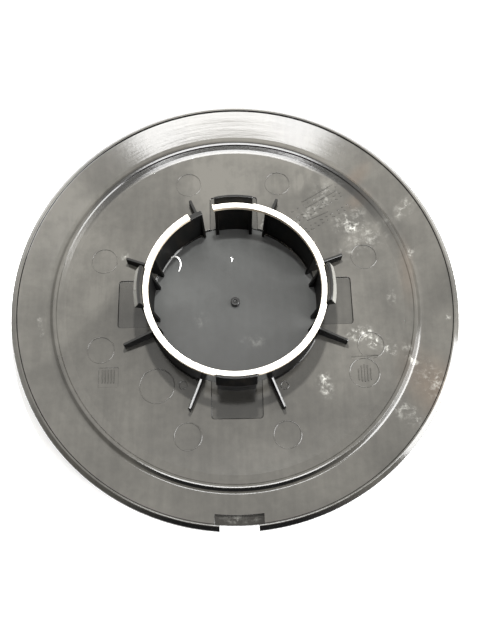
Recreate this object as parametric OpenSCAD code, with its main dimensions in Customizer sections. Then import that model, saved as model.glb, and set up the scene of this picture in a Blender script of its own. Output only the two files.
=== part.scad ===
// Round centre cap for a road wheel, lying on its outer face with its back up.
// A dished disc carries four snap clips and four arc walls with ribs,
// and a split ring seated on them keeps the clips spread.
// The origin is on the axis at the outer face, +Z points to the wheel, the notch is at -Y.

/* [Disc] */
// Outside diameter of the cap
cap_d = 151; // [143:1:170]
// Height of the rim lip above the outer face
cap_h = 8.4; // [7.6:0.1:10]
// Thickness of the floor inside the clips
skin_t = 2.2; // [1.8:0.1:2.8]
// Rise from the floor inside the clips to the floor outside them
step_h = 0.8; // [0.4:0.1:1.2]
// Width of the rim outside the flange, with its lip and shoulder
lip_w = 2.25; // [2:0.05:2.8]
// Width of the lip's flat top
lip_top = 0.65; // [0.5:0.05:0.9]
// Height of the lip above the end of the flange
lip_h = 0.6; // [0.4:0.1:1]
// Drop of the sloping shoulder outside the lip
shoulder_drop = 1; // [0.6:0.1:1.4]
// Height of the rim's outer side, shoulder and upright wall together
side_h = 3; // [2.4:0.1:3.6]

/* [Ridge] */
// Diameter of the ring-shaped ridge at its crest
ridge_d = 124.2; // [118:0.2:128]
// Height of the ridge above the floor
ridge_h = 1.7; // [1.4:0.1:2.2]
// Width of the ridge's inner side, from the crest to the foot
slope_w = 3.5; // [2.6:0.1:4]
// Rise of the gentle slope before the steeper step up to the crest
slope_rise = 1.2; // [0.8:0.1:1.3]
// Depth of the valley outside the ridge below its crest
valley_depth = 0.85; // [0.5:0.05:1.1]
// Radius of the valley's rounding into the flange
valley_round = 2.5; // [1.5:0.1:3.5]

/* [Pry notch] */
// Width of the opening in the rim
notch_w = 12.2; // [8:0.2:16]
// Width of the shelf behind the opening
shelf_w = 15.4; // [12:0.2:22]
// Depth of the shelf from the lip inwards
shelf_reach = 2.9; // [2:0.1:4]
// Depth of the shelf below the flange at its inner edge
shelf_drop = 1; // [0.6:0.1:1.2]
// Fall of the shelf from its inner edge to the opening
shelf_fall = 0.6; // [0:0.1:0.7]

/* [Clips] */
// Diameter across the inner faces of the clip legs
clip_in_d = 56; // [50:0.5:60]
// Width of each clip
clip_w = 12.75; // [9:0.25:15]
// Thickness of a clip leg below the ring
leg_t = 2.8; // [2.4:0.1:3.4]
// How far the snap lip stands out from its leg
hook_reach = 1.9; // [1:0.1:2.6]
// Height of the clip head above the ring
head_h = 3; // [2:0.2:4]
// Height of the snap lip's edge
hook_edge = 0.5; // [0.3:0.1:0.8]
// Reach of the two inner fins of a clip at its foot
fin_reach = 2.3; // [1.4:0.1:3]
// Thickness of the fins
fin_t = 1.1; // [0.8:0.1:1.6]

/* [Arc walls] */
// Height of the arc walls above the inner floor
wall_h = 15.2; // [11:0.2:18]
// Thickness of the arc walls
wall_t = 1.8; // [1.4:0.1:2]
// Angle from a clip's middle to the end of the next wall
wall_turn = 22.5; // [20:0.5:30]
// Thickness of the rib at each end of a wall
rib_t = 0.9; // [0.8:0.1:1.6]
// Reach of a rib outside the wall
rib_reach = 10.5; // [7:0.5:13]
// Height of a rib above the floor where it meets the wall
rib_h = 5.5; // [4:0.5:9]
// Height of a rib above the floor at its blunt outer end
rib_end_h = 3.8; // [1.4:0.1:5]
// Reach of a rib inside the wall
rib_foot = 1.5; // [0.8:0.1:2]

/* [Retaining ring] */
// Width of the ring's flat section
ring_w = 2.75; // [2.4:0.05:3.2]
// Thickness of the ring
ring_t = 1.8; // [1.4:0.1:2.4]
// Clearance between the ring and the clips
ring_clear = 0.1; // [0.05:0.05:0.3]
// Clearance at each side of a clip where the ring steps in
step_clear = 0.4; // [0.2:0.1:0.8]
// Angle of the slit's end beside the clip
slit_from = 104; // [103:1:108]
// Width of the slit as an angle
slit_turn = 17; // [6:1:20]

/* [Marks] */
// Diameter of the ejector marks
ejector_d = 9; // [6:0.5:10]
// Radius of the circle of ejector marks
ejector_circle = 48.4; // [47:0.2:50]
// Depth of the shallow marks
mark_depth = 0.15; // [0.1:0.05:0.3]
// Depth of the field beside each clip
field_depth = 0.4; // [0.2:0.1:0.6]
// Diameter of the sprue stub in the middle
stub_d = 3.1; // [2:0.1:4]
// Height of the sprue stub
stub_h = 2; // [0.8:0.1:2.4]

/* [Hidden] */
$fn = 144;
eps = 0.05;
far = 200;
cap_r = cap_d / 2;
lip_r = cap_r - lip_w;
edge_round = 0.3;
floor_z = skin_t + step_h;
clip_in_r = clip_in_d / 2;
step_r = clip_in_r + 0.65;
seat_z = skin_t + wall_h;
ring_top = seat_z + ring_t;
clip_top = ring_top + head_h;
ring_out_r = clip_in_r + ring_w;
wall_in_r = clip_in_r + 0.2;
wall_out_r = wall_in_r + wall_t;
leg_out_r = clip_in_r + leg_t;
// The ring's seat on a leg ends where the leg goes on upwards
seat_w = leg_t - 1;
upper_r = clip_in_r + seat_w;
hook_r = leg_out_r + hook_reach;
hook_z = ring_top - 1.2;
// Field of the moulding tool's slide beside each clip
field_w = clip_w + 4.25;
field_out = clip_in_r + 12.2;
field_round = 1.1;
ridge_r = ridge_d / 2;
crest_round = 0.5;
// Steeper step on the ridge's inner side, and the slope and fillet below it
crest_step = 0.8;
slope_turn = atan(slope_rise / (slope_w - crest_step));
foot_round = 2;
face_r = ridge_r - 0.6;
// The flange is the straight line that touches the valley's rounding and ends at the lip
flange_out = [lip_r, cap_h - lip_h];
valley_reach = 2.05;
// On a narrow flange the rounding is limited by the flange's width
valley_r = min(valley_round, 0.45 * (lip_r - ridge_r - valley_reach));
valley = [ridge_r + valley_reach, floor_z + ridge_h - valley_depth + valley_r];
valley_way = flange_out - valley;
flange_turn = atan2(valley_way[1], valley_way[0]) + asin(valley_r / norm(valley_way));
shelf_in_r = lip_r - shelf_reach;
notch_in_r = lip_r + 0.35;
// Height of the flange's back at a radius
function flange_z(r) = flange_out[1] - (flange_out[0] - r) * tan(flange_turn);
// Points of an arc in the profile's plane
function arc(c, r, from, to, n = 5) =
    [for (i = [0:n]) let (a = from + (to - from) * i / n) c + r * [cos(a), sin(a)]];
// Small round mark beside each lower rib: place and diameter
pip_d = 2.6;
pip_places = [[-17.9, -28.7], [15.9, -29.4]];
// Blank fields where the tool carried inserts: place and size
insert_place = [-26.5, -28.8];
insert_d = 11.6;
stamp_turn = 31;
stamp_r = 49.8;
stamp_size = 6.6;
stamp_d = 10;

// Section of the disc from the axis to the rim, outer face below
function disc_profile() = concat(
    [[0, 0], [face_r - 1, 0], [face_r, 0.15]],
    [[cap_r - 0.9, cap_h - side_h - 0.9], [cap_r - 0.3, cap_h - side_h - 0.45]],
    [[cap_r, cap_h - side_h]],
    arc([cap_r - edge_round, cap_h - shoulder_drop - edge_round], edge_round, 0, 55, 3),
    arc([lip_r + lip_top, cap_h - edge_round], edge_round, 55, 90, 3),
    arc([lip_r + 0.35, cap_h - 0.25], 0.25, 90, 170),
    [flange_out],
    arc(valley, valley_r, flange_turn - 90, -117, 6),
    arc([ridge_r, floor_z + ridge_h - crest_round], crest_round, 55, 128, 6),
    [[ridge_r - crest_step, floor_z + slope_rise]],
    arc([ridge_r - slope_w - foot_round * tan(slope_turn / 2), floor_z + foot_round],
        foot_round, slope_turn - 90, -90, 4),
    [[step_r + 0.3, floor_z], [step_r, floor_z - 0.3], [step_r, skin_t], [0, skin_t]]);

module disc() {
    rotate_extrude()
        polygon(disc_profile());
}

// Slab of a given width that runs out from the axis along +X
module slab(w, low = -1, high = 60) {
    translate([0, -w / 2, low])
        cube([far, w, high - low]);
}

// Shelf in the flange and the opening through the rim behind it
module notch_cut() {
    rotate(-90) {
        intersection() {
            slab(shelf_w);
            rotate_extrude()
                polygon([
                    [shelf_in_r, flange_z(shelf_in_r) - shelf_drop],
                    [shelf_in_r, far],
                    [notch_in_r + eps, far],
                    [notch_in_r + eps, flange_z(shelf_in_r) - shelf_drop - shelf_fall]]);
        }
        intersection() {
            slab(notch_w);
            rotate_extrude()
                translate([notch_in_r, -1])
                    square([far, far]);
        }
    }
}

// Shallow field left by the slide that forms the underside of a snap lip
module clip_field() {
    difference() {
        translate([0, 0, floor_z - field_depth])
            linear_extrude(height = 1)
                union() {
                    translate([0, -field_w / 2])
                        square([field_out - field_round, field_w]);
                    translate([0, -field_w / 2 + field_round])
                        square([field_out, field_w - 2 * field_round]);
                    for (side = [-1, 1])
                        translate([field_out - field_round, side * (field_w / 2 - field_round)])
                            circle(r = field_round);
                }
        translate([0, 0, -1])
            cylinder(r = step_r - eps, h = far);
    }
}

module tool_marks() {
    for (quarter = [0:90:270], side = [-1, 1])
        rotate(quarter + side * 19.5)
            translate([ejector_circle, 0, floor_z - mark_depth])
                cylinder(d = ejector_d, h = 1);
    translate([insert_place[0], insert_place[1], floor_z - mark_depth])
        cylinder(d = insert_d, h = 1);
    for (place = pip_places)
        translate([place[0], place[1], floor_z - mark_depth])
            cylinder(d = pip_d, h = 1);
    rotate(-stamp_turn)
        translate([stamp_r, 0, floor_z - mark_depth])
            cylinder(d = stamp_d, h = 1);
    rotate(180 + stamp_turn)
        translate([stamp_r, 0, floor_z - mark_depth])
            rotate(-180 - stamp_turn)
                translate([-stamp_size / 2, -stamp_size / 2, 0])
                    cube([stamp_size, stamp_size, 1]);
}

// Arc wall between two clips, with a fillet at its inner foot
module arc_wall() {
    rotate(wall_turn)
        rotate_extrude(angle = 90 - 2 * wall_turn)
            polygon(concat(
                [[wall_out_r, skin_t - 0.6], [wall_out_r, seat_z], [wall_in_r, seat_z]],
                arc([wall_in_r - 0.6, skin_t + 0.6], 0.6, 0, -90, 4),
                [[wall_in_r - 0.6, skin_t - 0.6]]));
}

// Upright plate across the end of a wall: a low web outside, a tall narrow foot inside
module end_rib() {
    rotate([90, 0, 0])
        linear_extrude(height = rib_t, center = true)
            polygon([
                [wall_in_r - rib_foot, skin_t - 0.6],
                [wall_in_r - rib_foot, skin_t + 0.4],
                [wall_in_r, seat_z - 1.5],
                [wall_in_r, seat_z],
                [wall_out_r, seat_z],
                [wall_out_r, floor_z + rib_h],
                [wall_out_r + rib_reach, floor_z + rib_end_h],
                [wall_out_r + rib_reach, skin_t - 0.6]]);
}

// Section of a clip: leg, seat for the ring, head with its ramp and snap lip
function clip_profile() = [
    [clip_in_r, skin_t - 0.6],
    [clip_in_r, seat_z],
    [upper_r, seat_z],
    [upper_r, ring_top],
    [upper_r + 0.44, clip_top],
    [leg_out_r + 0.2, clip_top],
    [hook_r, hook_z + hook_edge],
    [hook_r, hook_z],
    [leg_out_r, hook_z - 0.9],
    [leg_out_r, skin_t - 0.6]];

module clip() {
    intersection() {
        rotate_extrude()
            polygon(clip_profile());
        slab(clip_w);
    }
    for (side = [-1, 1])
        translate([0, side * (clip_w - fin_t) / 2, 0])
            rotate([90, 0, 0])
                linear_extrude(height = fin_t, center = true)
                    polygon([
                        [clip_in_r - fin_reach, skin_t - 0.6],
                        [clip_in_r - fin_reach, skin_t + 0.3],
                        [clip_in_r - 0.3, seat_z - 0.8],
                        [clip_in_r + leg_t / 2, seat_z - 0.8],
                        [clip_in_r + leg_t / 2, skin_t - 0.6]]);
}

// Sprue stub in the middle, with its broken-off gate as a small pit
module sprue_stub() {
    difference() {
        translate([0, 0, skin_t - 0.6])
            cylinder(d = stub_d, h = stub_h + 0.6);
        translate([0.2, 0.2, skin_t + stub_h - 0.5])
            cylinder(d = stub_d * 0.35, h = 1);
    }
}

module cap_moulding() {
    color([0.16, 0.16, 0.17]) {
        difference() {
            disc();
            notch_cut();
            for (quarter = [0:90:270])
                rotate(quarter)
                    clip_field();
            tool_marks();
        }
        for (quarter = [0:90:270])
            rotate(quarter) {
                clip();
                arc_wall();
                for (side = [-1, 1])
                    rotate(side * wall_turn)
                        end_rib();
            }
        sprue_stub();
    }
}

// Sector from the axis between two angles, for the ring's slit
module sector(from, turn) {
    rotate(from)
        translate([0, 0, -1])
            linear_extrude(height = 60)
                polygon([[0, 0], [far, 0], far * [cos(turn), sin(turn)]]);
}

// Flat split ring on the walls, stepped in where it passes behind a clip head
module retaining_ring() {
    color([0.93, 0.9, 0.84])
        difference() {
            rotate_extrude()
                translate([clip_in_r, seat_z])
                    square([ring_w, ring_t]);
            for (quarter = [0:90:270])
                rotate(quarter)
                    difference() {
                        slab(clip_w + 2 * step_clear);
                        translate([0, 0, -2])
                            cylinder(r = upper_r - ring_clear, h = far);
                    }
            sector(slit_from, slit_turn);
        }
}

cap_moulding();
retaining_ring();
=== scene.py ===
import math

import bmesh
import bpy
import numpy as np
from mathutils import Matrix, Vector


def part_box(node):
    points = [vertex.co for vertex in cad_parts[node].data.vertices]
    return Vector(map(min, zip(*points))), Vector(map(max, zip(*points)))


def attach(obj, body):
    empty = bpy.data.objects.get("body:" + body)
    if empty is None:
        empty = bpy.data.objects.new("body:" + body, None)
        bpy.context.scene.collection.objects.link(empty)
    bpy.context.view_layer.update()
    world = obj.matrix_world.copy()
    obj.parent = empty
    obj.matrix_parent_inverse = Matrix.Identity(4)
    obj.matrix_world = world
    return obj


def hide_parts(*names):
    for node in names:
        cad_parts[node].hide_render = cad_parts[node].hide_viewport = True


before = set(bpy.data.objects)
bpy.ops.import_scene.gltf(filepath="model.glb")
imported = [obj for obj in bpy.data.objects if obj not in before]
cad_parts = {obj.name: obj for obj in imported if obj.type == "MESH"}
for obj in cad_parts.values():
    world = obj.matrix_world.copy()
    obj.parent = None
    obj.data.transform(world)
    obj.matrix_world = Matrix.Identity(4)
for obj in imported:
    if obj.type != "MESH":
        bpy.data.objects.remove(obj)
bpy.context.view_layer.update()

mm = 0.001
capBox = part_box("cap_moulding")
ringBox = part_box("retaining_ring")
capRadius = capBox[1].x / mm  # the rim's outer radius, mm
clipTop = capBox[1].z / mm  # height of the clip heads, mm
ringTop = ringBox[1].z / mm
ringSeat = ringBox[0].z / mm  # the walls and clip seats end here
ringOuter = ringBox[1].x / mm
print("frame loaded: cap radius %.2f mm, clip heads at %.2f mm" % (capRadius, clipTop))

photoCamera = {
    "focal": 650.3,  # pixels of the 480 x 640 frame
    "frameLong": 640,
    "sensor": 36,
    "distance": 225.0,  # mm from the middle of the floor
    "elevation": 71.04,  # degrees above the table
    "roll": 1.11,
    "middle": (235.3, 302.9),  # pixel that shows the middle of the floor
    "centre": (240, 320),
    "aimHeight": 2.2,
    "clip": (0.01, 10),  # metres
}


def addCamera(settings):
    # Ray frame of an upright camera, rolled, then turned so that the aim point falls on its pixel
    elevation = math.radians(settings["elevation"])
    roll = math.radians(settings["roll"])
    offU = settings["middle"][0] - settings["centre"][0]
    offV = settings["centre"][1] - settings["middle"][1]
    turnX = math.atan(offU / settings["focal"])
    turnY = math.atan(offV / math.hypot(settings["focal"], offU))
    right0 = Vector((1, 0, 0))
    up0 = Vector((0, math.sin(elevation), math.cos(elevation)))
    ahead0 = Vector((0, math.cos(elevation), -math.sin(elevation)))
    right1 = right0 * math.cos(roll) - up0 * math.sin(roll)
    up1 = right0 * math.sin(roll) + up0 * math.cos(roll)
    tilted = ahead0 * math.cos(turnY) - up1 * math.sin(turnY)
    right = right1 * math.cos(turnX) + tilted * math.sin(turnX)
    up = up1 * math.cos(turnY) + ahead0 * math.sin(turnY)
    ahead = tilted * math.cos(turnX) - right1 * math.sin(turnX)
    aim = Vector((0, 0, settings["aimHeight"] * mm))
    spot = aim - ahead0 * settings["distance"] * mm
    data = bpy.data.cameras.new("photoCamera")
    data.sensor_width = settings["sensor"]
    data.lens = settings["focal"] / settings["frameLong"] * data.sensor_width
    data.clip_start, data.clip_end = settings["clip"]
    camera = bpy.data.objects.new("photoCamera", data)
    bpy.context.scene.collection.objects.link(camera)
    turn = Matrix((right, up, -ahead)).transposed()
    camera.matrix_world = Matrix.Translation(spot) @ turn.to_4x4()
    bpy.context.scene.camera = camera


addCamera(photoCamera)
print("camera placed")

mergeDistance = 2e-6  # metres
quarters = (0, 90, 180, 270)  # degrees round the axis to each clip
sides = (-1, 1)


def unit(vectors):
    # Each vector divided by its own length
    length = np.linalg.norm(vectors, axis=-1, keepdims=True)
    return vectors / np.maximum(length, 1e-12)


def roundPath(corners, radii, steps=5, closed=True):
    # Each corner becomes an arc that touches both its edges: centre = corner + bisector * r / sin(half angle)
    p = np.asarray(corners, float)
    edges = np.stack([np.roll(p, 1, 0) - p, np.roll(p, -1, 0) - p])
    back, ahead = unit(edges)
    half = np.arccos(np.clip((back * ahead).sum(1), -1, 1)) / 2
    room = np.linalg.norm(edges, axis=2).min(0) * 0.48  # under half of each edge
    setback = np.minimum(np.asarray(radii, float) / np.maximum(np.tan(half), 1e-6), room)
    if not closed:
        setback[0] = setback[-1] = 0
    radius = setback * np.tan(half)
    bisector = unit(back + ahead)
    centre = p + bisector * (radius / np.maximum(np.sin(half), 1e-6))[:, None]
    start = p + back * setback[:, None] - centre
    end = p + ahead * setback[:, None] - centre
    sweep = np.maximum(np.pi - 2 * half, 1e-6)[:, None, None]
    t = np.linspace(0, 1, steps + 1)[None, :, None]
    weightA = np.sin((1 - t) * sweep) / np.sin(sweep)
    weightB = np.sin(t * sweep) / np.sin(sweep)
    arcs = centre[:, None] + weightA * start[:, None] + weightB * end[:, None]
    sharp = (setback < 1e-9)[:, None, None]
    arcs = np.where(sharp, p[:, None], arcs)
    path = arcs.reshape(-1, p.shape[1])
    gap = np.linalg.norm(path - np.roll(path, 1, 0), axis=1)
    keep = gap > 1e-6
    if not closed:
        keep[0] = True
    return path[keep]


def roundRows(rows, steps, closed=True):
    # Rows of radius, height and rounding become a path
    table = np.array(rows)
    return roundPath(table[:, :2], table[:, 2], steps, closed)


def insetLoop(loop, distance):
    # Every point moves inwards along the mean of its two edge normals; the loop runs anticlockwise
    tangent = unit(np.roll(loop, -1, 0) - np.roll(loop, 1, 0))
    inward = np.stack([-tangent[:, 1], tangent[:, 0]], 1)
    return loop + inward * distance


class MeshParts:
    # Collects solids as point arrays and faces before they become one mesh
    def __init__(self):
        self.points = []
        self.faces = []
        self.count = 0

    def add(self, points, faces):
        self.points.append(points.reshape(-1, 3))
        self.faces += [tuple(int(i) + self.count for i in f) for f in faces]
        self.count += points.reshape(-1, 3).shape[0]


def gridFaces(rows, columns, closeRows=False, closeColumns=True):
    # Quads between neighbours of a rows x columns grid, wrapped where it closes
    row, column = np.meshgrid(np.arange(rows if closeRows else rows - 1),
                              np.arange(columns if closeColumns else columns - 1), indexing="ij")
    nextRow, nextColumn = (row + 1) % rows, (column + 1) % columns
    quads = np.stack([row * columns + column, row * columns + nextColumn,
                      nextRow * columns + nextColumn, nextRow * columns + column], -1)
    return [tuple(quad) for quad in quads.reshape(-1, 4)]


def cappedGrid(points):
    # A tube of closed loops, with a flat face on its first and last loop
    rows, columns = points.shape[:2]
    faces = gridFaces(rows, columns)
    faces.append(tuple(range(columns))[::-1])
    faces.append(tuple((rows - 1) * columns + i for i in range(columns)))
    return points, faces


def turned(points, degrees):
    # Points of a solid, or of a flat plan loop, turned round the axis
    a = math.radians(degrees)
    spin = np.array([[math.cos(a), math.sin(a), 0], [-math.sin(a), math.cos(a), 0], [0, 0, 1]])
    size = points.shape[-1]
    return points @ spin[:size, :size]


def carriedRound(profile, degrees):
    # Radius-height points carried round the axis: x = r cos a, y = r sin a
    a = np.radians(degrees)[:, None]
    r, z = profile[None, :, 0], profile[None, :, 1]
    return np.stack([r * np.cos(a), r * np.sin(a), np.broadcast_to(z, (len(a), z.shape[1]))], -1)


def endInsets(width, edge, steps=4):
    # Places across a slab of this width, and how far the section shrinks there, for round edges at both ends
    t = np.linspace(np.pi / 2, 0, steps + 1)
    y = width / 2 - edge + edge * np.sin(t)
    inset = edge * (1 - np.cos(t))
    return np.concatenate([-y, y[::-1]]), np.concatenate([inset, inset[::-1]])


def curvedSlab(loop, width, edge, middle=6):
    # A radius-height loop carried sideways at constant radius: x = sqrt(r^2 - y^2), with round ends
    y, inset = endInsets(width, edge)
    half = len(y) // 2
    between = np.linspace(y[half - 1], y[half], middle + 2)[1:-1]
    y = np.concatenate([y[:half], between, y[half:]])
    inset = np.concatenate([inset[:half], np.zeros(middle), inset[half:]])
    sections = np.stack([insetLoop(loop, d) for d in inset])
    r, z = sections[..., 0], sections[..., 1]
    x = np.sqrt(np.maximum(r ** 2 - y[:, None] ** 2, 0.01))
    return cappedGrid(np.stack([x, np.broadcast_to(y[:, None], x.shape), z], -1))


def flatSlab(loop, width, edge):
    # A radius-height loop extruded sideways, with round ends
    y, inset = endInsets(width, edge)
    sections = np.stack([insetLoop(loop, d) for d in inset])
    across = np.broadcast_to(y[:, None], sections.shape[:2])
    return cappedGrid(np.stack([sections[..., 0], across, sections[..., 1]], -1))


def circleLoop(x, y, radius, steps=72):
    # Plan points at x + r cos a, y + r sin a
    a = np.linspace(0, 2 * np.pi, steps, endpoint=False)
    return np.stack([x + radius * np.cos(a), y + radius * np.sin(a)], 1)


def boxLoop(x0, x1, y0, y1, radii):
    # Plan rectangle, anticlockwise from its low corner, with its own rounding at each corner
    return roundPath([(x0, y0), (x1, y0), (x1, y1), (x0, y1)], radii, steps=6)


def loftCut(outline, levels):
    # Closed solid: the plan outline is moved inwards by each level's inset at that level's height
    rows = [np.column_stack([insetLoop(outline, inset), np.full(len(outline), height)])
            for height, inset in levels]
    return cappedGrid(np.stack(rows))


def recessLevels(bottom, surface, fillet, flare, steps=4):
    # Levels of a recess: quarter circle at its foot, upright side, quarter circle at its rim
    t = np.linspace(0, np.pi / 2, steps + 1)
    foot = np.stack([bottom + fillet * (1 - np.cos(t)), fillet * (1 - np.sin(t))], 1)
    rim = np.stack([surface - flare * (1 - np.sin(t)), -flare * (1 - np.cos(t))], 1)
    return np.concatenate([foot, rim, [[surface + 1, -flare]]])


def smoothFaces(mesh, angle):
    mesh.polygons.foreach_set("use_smooth", np.ones(len(mesh.polygons), bool))
    mesh.set_sharp_from_angle(angle=math.radians(angle))


def makeMesh(name, parts, smoothAngle=32):
    # The collected solids in metres as one object at the origin, with its facing and shading put right
    mesh = bpy.data.meshes.new(name)
    points = np.concatenate(parts.points) * mm
    mesh.from_pydata(points.tolist(), [], parts.faces)
    obj = bpy.data.objects.new(name, mesh)
    bpy.context.scene.collection.objects.link(obj)
    bm = bmesh.new()
    bm.from_mesh(mesh)
    bmesh.ops.remove_doubles(bm, verts=bm.verts, dist=mergeDistance)
    bmesh.ops.recalc_face_normals(bm, faces=bm.faces)
    bm.to_mesh(mesh)
    bm.free()
    smoothFaces(mesh, smoothAngle)
    return obj


def evenNormals(obj):
    # Large faces stay flat in shading, small fillets blend into them
    weighted = obj.modifiers.new("evenNormals", "WEIGHTED_NORMAL")
    weighted.keep_sharp = True
    weighted.weight = 50


def solidStep(base, solids, operation):
    # One boolean with solids that don't touch each other, made final so that the piece keeps a plain mesh
    parts = MeshParts()
    for points, faces in solids:
        parts.add(points, faces)
    tool = makeMesh("tool", parts)
    step = base.modifiers.new(operation, "BOOLEAN")
    step.operation, step.solver, step.object = operation, "MANIFOLD", tool
    seen = base.evaluated_get(bpy.context.evaluated_depsgraph_get())
    mesh = bpy.data.meshes.new_from_object(seen)
    mesh.materials.clear()
    base.modifiers.clear()
    base.data = mesh
    bpy.data.objects.remove(tool)


discSizes = {
    "floorInner": 2.2,  # heights of both floors above the table
    "floorOuter": 3.0,
    "stepRadius": 28.65,
    "stepSlope": 0.12,
    "stepRounds": (0.3, 0.35),  # at its foot and at its top
    "stepFlats": (2, 1.5),  # flat floor kept inside and outside it
    "ridgeRadius": 62.1,
    "valley": (1.85, 0.47),  # where the ridge's back meets the flange: out from the crest, above the floor
    "valleyRound": 2.5,
    "rimTop": 8.4,
    "lipWidth": 2.25,  # from the flange's end to the rim's widest edge
    "lipHeight": 0.6,
    "lipSlope": (0.02, 0.12),  # its inner side starts and ends this far inside and outside the flange's end
    "lipTop": 0.65,  # from the flange's end to the shoulder
    "lipRounds": (0.25, 0.25, 0.5),
    # corners as two distances and a rounding: from the crest outwards and from the outer floor up
    "ridge": (
        (-6, 0, 0), (-3.8, 0, 0.8), (-2.45, 0.53, 2.5), (-1.15, 1.15, 0.2), (-0.85, 1.455, 0.08),
        (-0.25, 1.7, 0.12), (0.15, 1.665, 0.15),
    ),
    # shoulder and side wall: from the rim's widest edge inwards and from its top down
    "side": ((0.12, 1.0, 0.5), (0, 1.4, 0.3), (0, 3.0, 0.5), (0.9, 3.9, 0.8)),
    # edge of the outer face: from the crest inwards and from the table up
    "face": ((0.6, 0.12, 6), (4, 0, 0)),
    "angleSteps": 300,
}


def discProfile(s):
    # Corners and their rounding, from the axis over the back, the rim and the outer face to the axis
    low, floorZ, top = s["floorInner"], s["floorOuter"], s["rimTop"]
    step, ridge, lip = s["stepRadius"], s["ridgeRadius"], capRadius - s["lipWidth"]
    flatIn, flatOut = s["stepFlats"]
    footRound, edgeRound = s["stepRounds"]
    valleyOut, valleyUp = s["valley"]
    slopeIn, slopeOut = s["lipSlope"]
    lipFoot, lipEdge, shoulder = s["lipRounds"]
    rows = [
        (0, low, 0), (step - flatIn, low, 0), (step, low, footRound),
        (step + s["stepSlope"], floorZ, edgeRound), (step + flatOut, floorZ, 0),
    ]
    rows += [(ridge + out, floorZ + up, rounding) for out, up, rounding in s["ridge"]]
    rows += [
        (ridge + valleyOut, floorZ + valleyUp, s["valleyRound"]),
        (lip - slopeIn, top - s["lipHeight"], lipFoot),
        (lip + slopeOut, top, lipEdge), (lip + s["lipTop"], top, shoulder),
    ]
    rows += [(capRadius - inwards, top - down, rounding) for inwards, down, rounding in s["side"]]
    rows += [(ridge - inwards, up, rounding) for inwards, up, rounding in s["face"]]
    return roundRows([*rows, (0, 0, 0)], 6, closed=False)


def makeDisc(s):
    # The profile is carried round the axis
    points = carriedRound(discProfile(s), np.arange(0, 360, 360 / s["angleSteps"]))
    return points, gridFaces(*points.shape[:2], closeRows=True, closeColumns=False)


notchSizes = {
    "turn": -90,
    "width": 12.2,
    "shelfWidth": 15.4,
    "shelfReach": 2.9,
    "shelfDrop": 1.0,
    "shelfFall": 0.6,  # the shelf slopes down to the opening
    "shelfRound": 0.15,
    "lipCut": 0.35,  # how far the shelf reaches under the lip
    "shelfRise": 3,  # the shelf's cut ends this far above it
    "shelfFlare": 0.01,
    "overlap": 0.02,  # the opening's cut starts inside the shelf's
    "openTo": 90,  # the opening's cut ends outside the rim, and its heights clear the disc
    "openHeights": (-2, 20),
}


def notchCuts(s, disc):
    # The shelf is a strip between two arcs, x = sqrt(r^2 - y^2); the opening goes on from it through the rim
    lip = capRadius - disc["lipWidth"]
    inner, outer = lip - s["shelfReach"], lip + s["lipCut"]
    flangeIn, flangeLow = disc["ridgeRadius"] + disc["valley"][0], disc["floorOuter"] + disc["valley"][1]
    slope = (disc["rimTop"] - disc["lipHeight"] - flangeLow) / (lip - flangeIn)
    shelfZ = flangeLow + slope * (inner - flangeIn) - s["shelfDrop"]
    strips = ((s["shelfWidth"], inner, outer), (s["width"], outer - s["overlap"], s["openTo"]))
    loops = []
    for width, near, far in strips:
        y = np.linspace(-width / 2, width / 2, 25)
        arcIn = np.stack([np.sqrt(near ** 2 - y ** 2), y], 1)
        arcOut = np.stack([np.sqrt(far ** 2 - y ** 2), y], 1)
        loops.append(turned(np.concatenate([arcIn[::-1], arcOut]), s["turn"]))
    levels = recessLevels(shelfZ, shelfZ + s["shelfRise"], s["shelfRound"], s["shelfFlare"])
    points, faces = loftCut(loops[0], levels)
    outward = np.clip((np.hypot(points[..., 0], points[..., 1]) - inner) / (outer - inner), 0, 1)
    points[..., 2] -= s["shelfFall"] * outward
    return (points, faces), loftCut(loops[1], [(height, 0) for height in s["openHeights"]])


markSizes = {
    "fieldWidth": 17.0,  # shallow field beside each clip
    "fieldIn": 22.0,
    "fieldOut": 40.2,
    "fieldRound": 1.1,
    "fieldDepth": 0.4,
    "fieldEdges": (0.2, 0.12),  # fillet at the foot and flare at the rim
    "markDepth": 0.15,
    "markEdges": (0.06, 0.09),
    "ejectorDiameter": 9.0,
    "ejectorCircle": 48.4,
    "ejectorTurn": 19.5,
    "insert": (-26.5, -28.8, 5.8),  # middle and radius
    "pips": ((-17.9, -28.7, 1.3), (15.9, -29.4, 1.3)),
    "stampRadius": 49.8,
    "stampTurn": 31,
    "stampRound": 5.0,  # radius of the round stamp, and half the width of the square one
    "stampSquare": 3.3,
    "stampCorner": 0.3,
}


def stampPlace(s):
    # Middle of the round stamp: r cos a, -r sin a; the square one mirrors it at the other side
    a = math.radians(s["stampTurn"])
    return s["stampRadius"] * math.cos(a), -s["stampRadius"] * math.sin(a)


def roundMarks(s):
    # Middle and radius of every round mark; two ejector marks stand beside each clip
    marks = [s["insert"], *s["pips"]]
    for quarter in quarters:
        for side in sides:
            a = math.radians(quarter + side * s["ejectorTurn"])
            reach = s["ejectorCircle"]
            marks.append((reach * math.cos(a), reach * math.sin(a), s["ejectorDiameter"] / 2))
    return [*marks, (*stampPlace(s), s["stampRound"])]


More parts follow.
